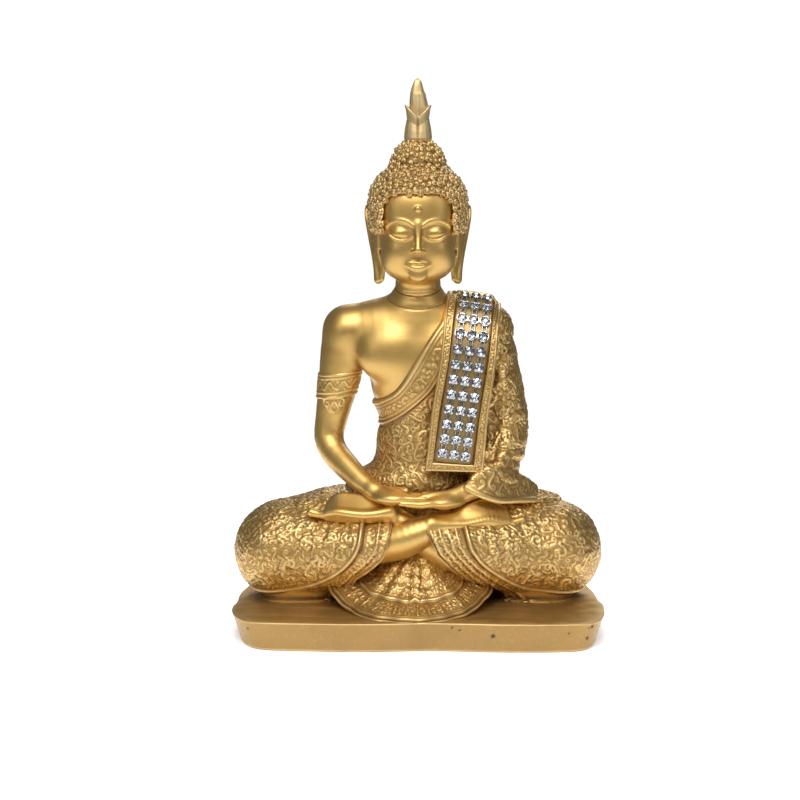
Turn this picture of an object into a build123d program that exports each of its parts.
"""Seated figure on a plinth, with a three-column rhinestone banding on its shawl. Millimetres.

+Z is up and the figure faces -Y. The origin is on the surface that the figure stands on, under the
middle of the plinth. Right and left are the figure's own, so its right side is at -X.
"""

from build123d import *
import math
import os

# Plinth and felt.
PLINTH_LENGTH = 138.0
PLINTH_DEPTH = 76.0
PLINTH_TOP = 10.5
PLINTH_TAPER = 4.0  # how far the foot stands in from the top edge, at the ends and the back
FRONT_TAPER = 0.6  # the same at the front, which is nearly upright
PLINTH_WAIST = 1.4  # how far the middle of the front edge is hollowed
FOOT_ROUNDING = 1.6
EDGE_ROUNDING = 0.7
FELT_THICKNESS = 0.8
FELT_INSET = 2.5

# Figure.
TOTAL_HEIGHT = 204.0
KNEE_REACH = 68.5  # from the middle to the outside of each knee
CUFF_REACH = 8.0  # from the middle to the inner end of each trouser of robe
LEG_AXIS_Z = 28.2
LEG_HALF_HEIGHT = 18.7
LEG_HALF_DEPTH = 20.0
WAIST_Z = 55.0
NECK_Z = 123.0
CHIN_Z = 130.0
CROWN_Z = 181.5  # top of the hair knot, where the finial is plugged in
HEAD_MIDDLE_Y = 10.0
ARMLET_WIDTH = 11.0
NECKLINE_START = (10.7, 0.0, 122.0)  # on the robe's edge, at the left of the neck
NECKLINE_FACING = (-0.84, 0.0, 0.54)  # from the robe to the bare shoulder

# Opening in the hair for the face: straight sides, under an elliptical arch.
FACE_WIDTH = 28.4
FACE_ARCH_Z = 154.5
FACE_ARCH_RISE = 8.6
HAIR_LEVEL = (137.5, 154.5)  # bottom and top of the straight sides
HAIR_FRONT_Y = 5.0  # how far back the opening reaches
OPENING = 50.0  # wider and deeper than the hair, so that the opening is cut right through

# Peg that joins the finial to the hair.
PEG_RADIUS = 1.5
PEG_LENGTH = 6.6
PEG_HOLE_DEPTH = 7.0
PEG_CLEARANCE = 0.05

# Rhinestone banding: round stones in claw cups.
STONE_RADIUS = 1.7
STONE_CROWN = 0.65
STONE_PAVILION = 1.1
CROWN_ANGLE = 34.0
STAR_ANGLE = 24.0
PAVILION_ANGLE = 36.0
CUP_RADIUS = 2.0
CUP_WALL = 0.2
CUP_HEIGHT = 1.35
CUP_FLOOR = 0.2
CLAW_WIDTH = 0.7
CLAW_THICKNESS = 0.22
CLAW_GAP = 0.04  # between a stone's girdle and its claws
CLAW_OVERLAP = 0.45  # how far the claws reach in over the girdle
CLAW_ROOT = 0.5  # how far the claws run down the cup, under the girdle
ROWS = 12
COLUMNS = 3
ROW_PITCH = 5.5
COLUMN_PITCH = 4.3
BAR_SIZE = (0.6, 0.9, 0.35)
BAR_RISE = 0.25
WIRE_RADIUS = 0.3
WIRE_SPREAD = 0.75  # from a column's middle to each of its two wires
WIRE_RISE = 0.6

# Shawl.
SHAWL_WIDTH = 20.5
SHAWL_THICKNESS = 2.8
SHAWL_ROOT = 9.0  # how far the shawl's folds reach in behind its under side
SHAWL_LEAN = 8.4  # degrees that the shawl leans towards the left shoulder
SHAWL_BORDER = 3.3
CHANNEL_DEPTH = 1.3
FIRST_ROW = 6.5  # from the shawl's lower edge to the lowest row of stones
GLUE_THICKNESS = 0.15
GLUE_SHRINK = 0.03  # how far the glue draws down from under the cups as it sets
SHAWL_FOOT = (12.3, -6.5, 60.05)  # under side of the shawl, at the middle of its lower edge
# Under side of the shawl seen from the side: height along its lean, and depth behind its foot.
SHAWL_PROFILE = [(0.0, 0.0), (20.0, 0.4), (40.0, 2.2), (52.0, 5.6), (59.6, 12.0), (62.4, 21.0)]


def finished(name, part):
    """Labels a piece and writes it as the node of that name."""
    part.label = name
    export_step(part, f"parts/{name}.step")


def trimmed(part, *neighbours):
    """The main body of a part without what its neighbours hold, so that they meet face to face."""
    with BuildPart() as left_over:
        add(part)
        for neighbour in neighbours:
            add(neighbour, mode=Mode.SUBTRACT)
    with BuildPart() as main_body:
        add(left_over.solids().sort_by(SortBy.VOLUME)[-1])
    return main_body.part


def stacked(stations):
    """A loft through level ellipses, each (height, middle x, middle y, half width, half depth)."""
    with BuildPart() as body:
        for z, x, y, half_width, half_depth in stations:
            with BuildSketch(Plane((x, y, z))):
                Ellipse(half_width, half_depth)
        loft()
    return body.part


def strung(stations, upright):
    """A loft through ellipses across a limb, each (middle, direction, upright radius, other radius)."""
    with BuildPart() as body:
        for middle, direction, upright_radius, other_radius in stations:
            with BuildSketch(Plane(origin=middle, x_dir=upright, z_dir=direction)):
                Ellipse(upright_radius, other_radius)
        loft()
    return body.part


def plinth_outline(inset, front_inset):
    """The plinth's edge seen from above, drawn in by two insets, with its hollowed front."""
    half_length = PLINTH_LENGTH / 2 - inset
    half_depth = PLINTH_DEPTH / 2 - inset
    front_depth = PLINTH_DEPTH / 2 - front_inset
    shoulder_x, shoulder_y = 0.79 * half_length, 0.42 * half_depth
    with BuildLine() as edge:
        front = Spline(
            (-shoulder_x, -0.93 * front_depth),
            (-0.46 * half_length, -front_depth),
            (0.14 * half_length, PLINTH_WAIST - front_depth),
            (0.56 * half_length, -front_depth),
            (shoulder_x, -0.93 * front_depth),
            tangents=[(1, -0.25), (1, 0.25)],
        )
        back_left = (-0.62 * half_length, half_depth)
        back_right = (0.62 * half_length, half_depth)
        right_corner = TangentArc(front @ 1, (half_length, -shoulder_y), tangent=front % 1)
        left_corner = TangentArc(front @ 0, (-half_length, -shoulder_y), tangent=-(front % 0))
        Spline(right_corner @ 1, back_right, tangents=[right_corner % 1, (-1, 0)])
        Line(back_right, back_left)
        Spline(left_corner @ 1, back_left, tangents=[left_corner % 1, (1, 0)])
    return edge.line


def make_plinth():
    """A slab whose ends and back lean in towards its foot, with softened edges."""
    foot_outline = plinth_outline(PLINTH_TAPER, FRONT_TAPER)
    top_outline = plinth_outline(0, 0)
    with BuildPart() as slab:
        with BuildSketch(Plane.XY.offset(FELT_THICKNESS)):
            add(foot_outline)
            make_face()
        with BuildSketch(Plane.XY.offset(PLINTH_TOP)):
            add(top_outline)
            make_face()
        loft()
        fillet(slab.edges().group_by(Axis.Z)[0], FOOT_ROUNDING)
        fillet(slab.edges().group_by(Axis.Z)[-1], EDGE_ROUNDING)
    return slab.part


def make_felt_pad():
    """The sheet of felt glued under the plinth."""
    outline = plinth_outline(PLINTH_TAPER + FELT_INSET, FRONT_TAPER + FELT_INSET)
    with BuildPart() as felt:
        with BuildSketch():
            add(outline)
            make_face()
        extrude(amount=FELT_THICKNESS)
    return felt.part


def make_leg_robe(side):
    """Folded thigh and shin under one leg of robe, along X from the knee to the cuff."""
    swell_along = [(0, 0.12), (0.025, 0.42), (0.1, 0.73), (0.26, 0.94), (0.5, 1), (0.8, 0.98), (1, 0.88)]
    knee_y, cuff_y = 10.0, 1.5
    stations = []
    for share, swell in swell_along:
        x = KNEE_REACH + (CUFF_REACH - KNEE_REACH) * share
        y = knee_y + (cuff_y - knee_y) * share
        middle = (side * x, y, LEG_AXIS_Z)
        stations.append((middle, (-side, 0, 0), LEG_HALF_HEIGHT * swell, LEG_HALF_DEPTH * swell))
    limb = strung(stations, upright=(0, 0, 1))
    with BuildPart() as leg:
        add(limb)
        split(bisect_by=Plane.XY.offset(PLINTH_TOP), keep=Keep.TOP)
    return leg.part


def make_robe_fan():
    """The robe's pleated hem, spread like an apron from the shins to the front of the plinth."""
    rings = [(PLINTH_TOP, 30.5, 31.0), (13.0, 30.5, 31.0), (19.0, 25.0, 22.0), (30.0, 14.0, 15.0)]
    return stacked([(z, 0, -4.5, wide, deep) for z, wide, deep in rings])


def make_seat_robe():
    """Hips and lap under the robe, between the legs and under the torso."""
    rings = [(PLINTH_TOP, 33.0, 20.0), (28.0, 34.0, 21.0), (44.0, 30.0, 19.5), (WAIST_Z, 24.0, 17.0)]
    return stacked([(z, 0, 14.5, wide, deep) for z, wide, deep in rings])


def make_shin(start, end):
    """Bare shin in front of the lap, from under its cuff to its foot."""
    run = Vector(end) - Vector(start)
    middle = Vector(start) + run * 0.5
    return strung([(start, run, 4.6, 4.2), (middle, run, 5.2, 4.8), (end, run, 4.2, 4.0)], (0, 0, 1))


def make_foot(heel, toes):
    """Foot lying sole up on the opposite thigh, from heel to toes."""
    heel, run = Vector(heel), Vector(toes) - Vector(heel)
    thigh = (run.X, 0, 0)
    stations = [
        (heel, thigh, 3.6, 4.0),
        (heel + run * 0.38, thigh, 4.4, 5.2),
        (heel + run * 0.74, thigh, 3.6, 6.0),
        (heel + run, thigh, 1.4, 4.2),
    ]
    return strung(stations, upright=(0, 0, 1))


def make_torso():
    """Waist, chest and shoulders, up to the root of the neck."""
    return stacked(
        [
            (WAIST_Z, 0.5, 13.0, 22.0, 16.0),
            (61.5, 0.5, 12.5, 17.8, 14.5),
            (69.0, 0.5, 12.5, 15.2, 14.0),
            (78.0, 0.5, 12.5, 17.0, 15.5),
            (90.0, 0.0, 13.0, 22.4, 17.0),
            (103.0, 0.0, 13.0, 26.5, 16.8),
            (112.5, 0.0, 13.0, 28.0, 15.2),
            (118.0, 0.0, 12.5, 26.0, 12.6),
            (121.0, 0.0, 11.5, 17.0, 10.6),
            (NECK_Z, 0.0, 11.0, 10.0, 9.5),
        ]
    )


def torso_half(torso, keep):
    """One side of the torso's neckline: TOP is the bare shoulder, BOTTOM the robe."""
    with BuildPart() as half:
        add(torso)
        split(bisect_by=Plane(origin=NECKLINE_START, z_dir=NECKLINE_FACING), keep=keep)
    return half.part


def make_neck():
    """Neck, from the shoulders to under the jaw."""
    return stacked([(NECK_Z, 0, 11, 9.6, 9.2), (126.5, 0, 10.5, 8.5, 8.5), (134.5, 0, 9.5, 8.2, 8.2)])


def make_head():
    """Face and skull under the hair."""
    return stacked(
        [
            (CHIN_Z, 0, -3.0, 3.5, 4.0),
            (133.0, 0, 0.5, 8.4, 9.0),
            (139.5, 0, 3.6, 12.0, 13.2),
            (148.0, 0, 6.0, 13.8, 16.0),
            (158.0, 0, 7.4, 14.0, 17.0),
            (166.0, 0, 8.2, 12.0, 15.0),
            (171.5, 0, 9.0, 7.8, 9.6),
        ]
    )


def make_hair_cap():
    """Curled hair over the skull, drawn up into a knot, open in front for the face."""
    shape = stacked(
        [
            (141.0, 0, 12.0, 13.6, 14.0),
            (146.0, 0, 11.5, 16.8, 17.0),
            (154.0, 0, 10.2, 18.8, 19.4),
            (161.5, 0, 9.8, 18.8, 19.4),
            (167.0, 0, 9.8, 17.0, 17.4),
            (170.8, 0, HEAD_MIDDLE_Y, 13.2, 13.6),
            (174.5, 0, HEAD_MIDDLE_Y, 10.2, 10.4),
            (178.6, 0, HEAD_MIDDLE_Y, 8.4, 8.4),
            (CROWN_Z, 0, HEAD_MIDDLE_Y, 5.6, 5.6),
        ]
    )
    bottom, top = HAIR_LEVEL
    with BuildPart() as hair:
        add(shape)
        with BuildSketch(Plane.XZ.offset(-HAIR_FRONT_Y)):
            with Locations((0, (bottom + top) / 2)):
                Rectangle(OPENING, top - bottom)
            with Locations((0, FACE_ARCH_Z)):
                Ellipse(FACE_WIDTH / 2, FACE_ARCH_RISE)
        extrude(amount=OPENING, mode=Mode.SUBTRACT)
        with Locations((0, HEAD_MIDDLE_Y, CROWN_Z)):
            Hole(PEG_RADIUS + PEG_CLEARANCE, depth=PEG_HOLE_DEPTH)
    return hair.part


def make_flame_finial():
    """Flame on a cup of petals, with the peg that plugs it into the hair."""
    rings = [(CROWN_Z, 5.0, 4.0), (186.5, 5.3, 4.2), (192.5, 5.1, 3.7), (196.0, 3.8, 3.0)]
    tip = [(200.5, 2.6, 2.2), (TOTAL_HEIGHT, 0.6, 0.6)]
    shape = stacked([(z, 0, HEAD_MIDDLE_Y, wide, deep) for z, wide, deep in rings + tip])
    with BuildPart() as flame:
        add(shape)
        with Locations((0, HEAD_MIDDLE_Y, CROWN_Z)):
            Cylinder(PEG_RADIUS, PEG_LENGTH, align=(Align.CENTER, Align.CENTER, Align.MAX))
    return flame.part


def make_ear(side):
    """Ear with its long lobe, a leaf leaning against the side of the head."""
    leaf = [
        (128.0, 14.8, 7.0, 1.6, 2.4),
        (132.0, 15.2, 7.5, 1.9, 3.2),
        (142.0, 16.0, 8.2, 1.6, 3.6),
        (151.0, 17.4, 8.8, 1.7, 4.8),
        (156.0, 17.9, 9.0, 1.0, 2.5),
    ]
    return stacked([(z, side * x, y, thick, deep) for z, x, y, thick, deep in leaf])


def make_right_arm():
    """Bare upper arm and forearm, from the shoulder round the elbow to the wrist."""
    return strung(
        [
            ((-25.0, 13.5, 112.0), (-0.85, 0, -0.5), 7.6, 6.6),
            ((-28.6, 13.6, 106.5), (-0.35, 0, -0.9), 8.2, 7.4),
            ((-29.8, 13.4, 97.0), (-0.12, 0, -1), 7.8, 7.2),
            ((-31.0, 13.0, 85.0), (-0.12, -0.03, -1), 6.9, 6.6),
            ((-33.4, 12.2, 73.0), (-0.05, -0.12, -1), 5.5, 5.4),
            ((-32.6, 9.0, 64.5), (0.5, -0.55, -0.75), 5.0, 5.0),
            ((-25.0, 0.2, 57.5), (0.66, -0.65, -0.42), 4.6, 4.3),
            ((-16.0, -8.0, 52.8), (0.75, -0.6, -0.25), 3.7, 3.1),
        ],
        upright=(0, 1, 0),
    )


def make_right_armlet():
    """Banded ornament round the upper arm, hugging it."""
    arm = make_right_arm()
    with BuildPart() as band:
        with BuildSketch(Plane(origin=(-30.7, 13.1, 88.0), z_dir=(-0.12, -0.02, -1))):
            Ellipse(7.9, 8.3)
        extrude(amount=ARMLET_WIDTH / 2, both=True)
        add(arm, mode=Mode.SUBTRACT)
    return band.part


def make_left_sleeve():
    """Robe-covered left arm, from the shoulder round the elbow to the cuff."""
    return strung(
        [
            ((25.5, 13.0, 112.5), (0.85, 0, -0.5), 7.5, 6.5),
            ((28.0, 13.2, 106.5), (0.35, 0, -0.9), 8.8, 8.0),
            ((29.4, 13.0, 96.0), (0.12, 0, -1), 9.4, 8.4),
            ((31.5, 12.4, 82.0), (0.12, -0.03, -1), 9.2, 8.6),
            ((32.6, 9.6, 70.0), (-0.05, -0.3, -0.9), 8.6, 8.4),
            ((29.0, 2.6, 60.0), (-0.66, -0.62, -0.42), 7.4, 6.6),
            ((22.5, -3.6, 55.5), (-0.75, -0.6, -0.25), 6.4, 5.6),
        ],
        upright=(0, 1, 0),
    )


def make_left_cuff():
    """Turned-back end of the sleeve, round the wrist."""
    return strung(
        [
            ((22.5, -3.6, 55.5), (-0.75, -0.6, -0.25), 6.9, 6.1),
            ((17.5, -7.5, 54.0), (-0.75, -0.6, -0.2), 6.2, 5.4),
        ],
        upright=(0, 1, 0),
    )


def make_hand(side, wrist, palm, tips):
    """Open hand lying palm up in the lap, from wrist to fingertips."""
    towards_middle = (-side, -0.3, 0)
    stations = [
        (wrist, towards_middle, 2.7, 3.5),
        (palm, towards_middle, 2.6, 5.2),
        (tips, towards_middle, 1.3, 3.9),
    ]
    return strung(stations, upright=(0, 0, 1))


def make_shawl_tail():
    """End of the shawl, falling from the cuff across the left thigh to a point."""
    return strung(
        [
            ((24.0, 2.0, 50.5), (1, 0.3, -0.2), 3.4, 8.5),
            ((37.0, 5.0, 48.2), (1, 0.3, -0.2), 3.2, 7.0),
            ((52.0, 8.5, 45.0), (1, 0.3, -0.2), 2.0, 2.4),
        ],
        upright=(0, 0, 1),
    )


# The shawl's own axes: across it, up along its lean, and the side view that its profile is drawn in,
# whose X runs up the lean and whose Y comes forwards.
lean = math.radians(SHAWL_LEAN)
across = Vector(math.cos(lean), 0, -math.sin(lean))
up_lean = Vector(math.sin(lean), 0, math.cos(lean))
side_view = Plane(origin=SHAWL_FOOT, x_dir=up_lean, z_dir=across)
with BuildLine():
    under_side = Spline([(height, -depth) for height, depth in SHAWL_PROFILE])
channel_floor = SHAWL_THICKNESS - CHANNEL_DEPTH


def shawl_point(share, stand_off):
    """Where the shawl's profile is at a share of its length, and which way it faces, in side view."""
    heading = under_side % share
    facing = Vector(-heading.Y, heading.X)
    return under_side @ share + facing * stand_off, facing


def shawl_slab(inner, outer, width, foot, head):
    """A slab that follows the shawl, between two distances from its under side and two shares."""
    steps = 8
    shares = [foot + (head - foot) * step / steps for step in range(steps + 1)]
    with BuildPart() as slab:
        with BuildSketch(side_view):
            with BuildLine():
                inside = Spline([shawl_point(share, inner)[0] for share in shares])
                outside = Spline([shawl_point(share, outer)[0] for share in shares])
                Line(inside @ 0, outside @ 0)
                Line(inside @ 1, outside @ 1)
            make_face()
        extrude(amount=width / 2, both=True)
    return slab.part


def channel_slab(inner, outer, width):
    """A slab along the channel that the banding lies in."""
    border = SHAWL_BORDER / under_side.length
    return shawl_slab(inner, outer, width, border, 1 - border / 2)


def make_shawl_panel():
    """Folded shawl down the left chest, with a sunk channel for the banding."""
    slab = shawl_slab(-SHAWL_ROOT, SHAWL_THICKNESS, SHAWL_WIDTH, 0, 1)
    channel = channel_slab(channel_floor, SHAWL_THICKNESS + 1, SHAWL_WIDTH - 2 * SHAWL_BORDER)
    with BuildPart() as shawl:
        add(slab)
        add(channel, mode=Mode.SUBTRACT)
    return shawl.part


def make_adhesive_film():
    """Film of glue on the floor of the channel, as wide as the banding."""
    width = (COLUMNS - 1) * COLUMN_PITCH + 2 * CUP_RADIUS
    return channel_slab(channel_floor, channel_floor + GLUE_THICKNESS - GLUE_SHRINK, width)


def row_plane(row):
    """The plane that a row of cups stands on: X across the banding, Z out of it."""
    share = (FIRST_ROW + row * ROW_PITCH) / under_side.length
    place, facing = shawl_point(share, channel_floor + GLUE_THICKNESS)
    origin = side_view.from_local_coords(place)
    out = side_view.from_local_coords(place + facing) - origin
    return Plane(origin=origin, x_dir=across, z_dir=out)


def make_cup():
    """Pressed cup with four claws bent over its stone. Its floor is at Z 0."""
    girdle_z = CUP_FLOOR + STONE_PAVILION
    slope = math.tan(math.radians(CROWN_ANGLE))
    inner, outer, tip = STONE_RADIUS + CLAW_GAP, CUP_RADIUS - 0.01, STONE_RADIUS - CLAW_OVERLAP
    tip_z = girdle_z + (inner - tip) * slope
    root_z = girdle_z - CLAW_ROOT
    with BuildPart() as cup:
        Cylinder(CUP_RADIUS, CUP_HEIGHT, align=(Align.CENTER, Align.CENTER, Align.MIN))
        with Locations((0, 0, CUP_FLOOR)):
            Cylinder(
                CUP_RADIUS - CUP_WALL,
                CUP_HEIGHT,
                align=(Align.CENTER, Align.CENTER, Align.MIN),
                mode=Mode.SUBTRACT,
            )
        for quarter in range(4):
            around = math.radians(45 + 90 * quarter)
            out = Vector(math.cos(around), math.sin(around))
            with BuildSketch(Plane(origin=(0, 0, 0), x_dir=out, z_dir=out.cross(Vector(0, 0, 1)))):
                with BuildLine():
                    Polyline(
                        (inner, root_z),
                        (inner, girdle_z),
                        (tip, tip_z),
                        (tip + 0.1, tip_z + CLAW_THICKNESS),
                        (outer, girdle_z + CLAW_THICKNESS),
                        (outer, root_z),
                        close=True,
                    )
                make_face()
            extrude(amount=CLAW_WIDTH / 2, both=True)
    return cup.part


def facet_planes(angle, height, facing, turn):
    """Eight planes round the Z axis at one angle, which all cross it at one height."""
    tilt = math.radians(angle)
    for facet in range(8):
        around = math.radians(turn + 45 * facet)
        level = math.sin(tilt)
        normal = (level * math.cos(around), level * math.sin(around), facing * math.cos(tilt))
        yield Plane(origin=(0, 0, facing * height), z_dir=normal)


def make_stone():
    """Brilliant-cut stone, facet by facet. Its girdle is at Z 0."""
    main_height = STONE_RADIUS * math.tan(math.radians(CROWN_ANGLE))
    star_height = STONE_CROWN + 0.25
    pavilion_height = 0.92 * STONE_RADIUS * math.tan(math.radians(PAVILION_ANGLE))
    with BuildPart() as stone:
        with BuildSketch(Plane.XY.offset(-STONE_PAVILION)):
            RegularPolygon(STONE_RADIUS, 16)
        extrude(amount=STONE_PAVILION + STONE_CROWN)
        for plane in (
            *facet_planes(CROWN_ANGLE, main_height, 1, 0),
            *facet_planes(STAR_ANGLE, star_height, 1, 22.5),
            *facet_planes(PAVILION_ANGLE, pavilion_height, -1, 22.5),
        ):
            split(bisect_by=plane, keep=Keep.BOTTOM)
    return stone.part


def make_cup_row(plane, cup):
    """One row of cups, joined across by bars."""
    with BuildPart(plane) as row:
        with GridLocations(COLUMN_PITCH, 1, COLUMNS, 1):
            add(cup)
        with GridLocations(COLUMN_PITCH, 1, COLUMNS - 1, 1):
            with Locations((0, 0, BAR_RISE)):
                Box(*BAR_SIZE, align=(Align.CENTER, Align.CENTER, Align.MIN))
    return row.part


def make_stone_row(plane, stone):
    """One row of stones, their culets on the floors of the cups."""
    with BuildPart(plane.offset(CUP_FLOOR + STONE_PAVILION)) as row:
        with GridLocations(COLUMN_PITCH, 1, COLUMNS, 1):
            add(stone)
    return row.part


def make_links(planes):
    """Pairs of wires that join each row's cups to the next row's."""
    reach = math.sqrt(CUP_RADIUS**2 - (WIRE_SPREAD - WIRE_RADIUS) ** 2) + 0.01
    with BuildPart() as wires:
        for lower, upper in zip(planes, planes[1:]):
            for column in range(COLUMNS):
                for side in (-1, 1):
                    x = (column - (COLUMNS - 1) / 2) * COLUMN_PITCH + side * WIRE_SPREAD
                    start = lower.from_local_coords((x, reach, WIRE_RISE))
                    run = upper.from_local_coords((x, -reach, WIRE_RISE)) - start
                    with BuildSketch(Plane(origin=start, z_dir=run)):
                        Circle(WIRE_RADIUS)
                    extrude(amount=run.length)
    return wires.part


def main():
    os.makedirs("parts", exist_ok=True)
    finished("plinth", make_plinth())
    finished("felt_pad", make_felt_pad())

    # Legs and robe, each trimmed by what was made before it.
    right_leg = trimmed(make_leg_robe(-1))
    left_leg = trimmed(make_leg_robe(1))
    seat = trimmed(make_seat_robe(), right_leg, left_leg)
    fan = trimmed(make_robe_fan(), seat, right_leg, left_leg)
    lap = (seat, fan, right_leg, left_leg)
    right_shin = trimmed(make_shin((-12.0, -15.0, 32.0), (8.5, -14.0, 43.5)), *lap)
    left_shin = trimmed(make_shin((13.0, -13.5, 30.5), (-4.0, -12.0, 38.5)), right_shin, *lap)
    shins = (right_shin, left_shin)
    right_foot = trimmed(make_foot((8.5, -12.5, 45.0), (39.5, -7.0, 43.5)), *shins, *lap)
    left_foot = trimmed(make_foot((-9.0, -12.0, 45.5), (-39.5, -6.0, 44.5)), right_foot, *shins, *lap)
    feet = (right_foot, left_foot)

    # The shawl cuts its seat out of everything above the waist.
    shawl = make_shawl_panel()
    torso = make_torso()
    bare_chest = trimmed(torso_half(torso, Keep.TOP), shawl)
    robe_wrap = trimmed(torso_half(torso, Keep.BOTTOM), shawl)
    right_arm = trimmed(make_right_arm(), torso, *feet)
    left_sleeve = trimmed(make_left_sleeve(), torso, shawl)
    left_cuff = trimmed(make_left_cuff(), torso, seat, shawl)
    clothed = (right_arm, left_sleeve, left_cuff, seat, shawl, torso)
    right_reach = ((-15.0, -9.4, 52.0), (-7.0, -13.4, 51.4), (7.0, -15.4, 51.0))
    left_reach = ((17.0, -9.0, 52.0), (8.0, -13.4, 49.8), (-7.0, -15.2, 48.4))
    right_hand = trimmed(make_hand(-1, *right_reach), *clothed, *feet)
    left_hand = trimmed(make_hand(1, *left_reach), right_hand, *clothed, *feet, *shins)
    shawl_tail = trimmed(make_shawl_tail(), left_leg, left_sleeve, left_cuff, seat, right_foot)

    # Head.
    neck = trimmed(make_neck(), shawl)
    head = trimmed(make_head(), neck)
    right_ear = trimmed(make_ear(-1), head)
    left_ear = trimmed(make_ear(1), head)
    hair_cap = trimmed(make_hair_cap(), head, right_ear, left_ear)

    for name, part in {
        "right_leg_robe": right_leg,
        "left_leg_robe": left_leg,
        "seat_robe": seat,
        "robe_fan": fan,
        "right_shin": right_shin,
        "left_shin": left_shin,
        "right_foot": right_foot,
        "left_foot": left_foot,
        "bare_chest": bare_chest,
        "robe_wrap": robe_wrap,
        "right_arm": right_arm,
        "right_armlet": trimmed(make_right_armlet(), torso),
        "left_sleeve": left_sleeve,
        "left_cuff": left_cuff,
        "right_hand": right_hand,
        "left_hand": left_hand,
        "shawl_tail": shawl_tail,
        "shawl_panel": shawl,
        "neck": neck,
        "head": head,
        "right_ear": right_ear,
        "left_ear": left_ear,
        "hair_cap": hair_cap,
        "flame_finial": make_flame_finial(),
    }.items():
        finished(name, part)

    # Banding: the rows of cups, their stones, the wires between the rows and the glue under them.
    planes = [row_plane(row) for row in range(ROWS)]
    cup, stone = make_cup(), make_stone()
    for row, plane in enumerate(planes, start=1):
        finished(f"cup_row_{row:02d}", make_cup_row(plane, cup))
        finished(f"crystal_row_{row:02d}", make_stone_row(plane, stone))
    finished("banding_links", make_links(planes))
    finished("adhesive_film", make_adhesive_film())


main()
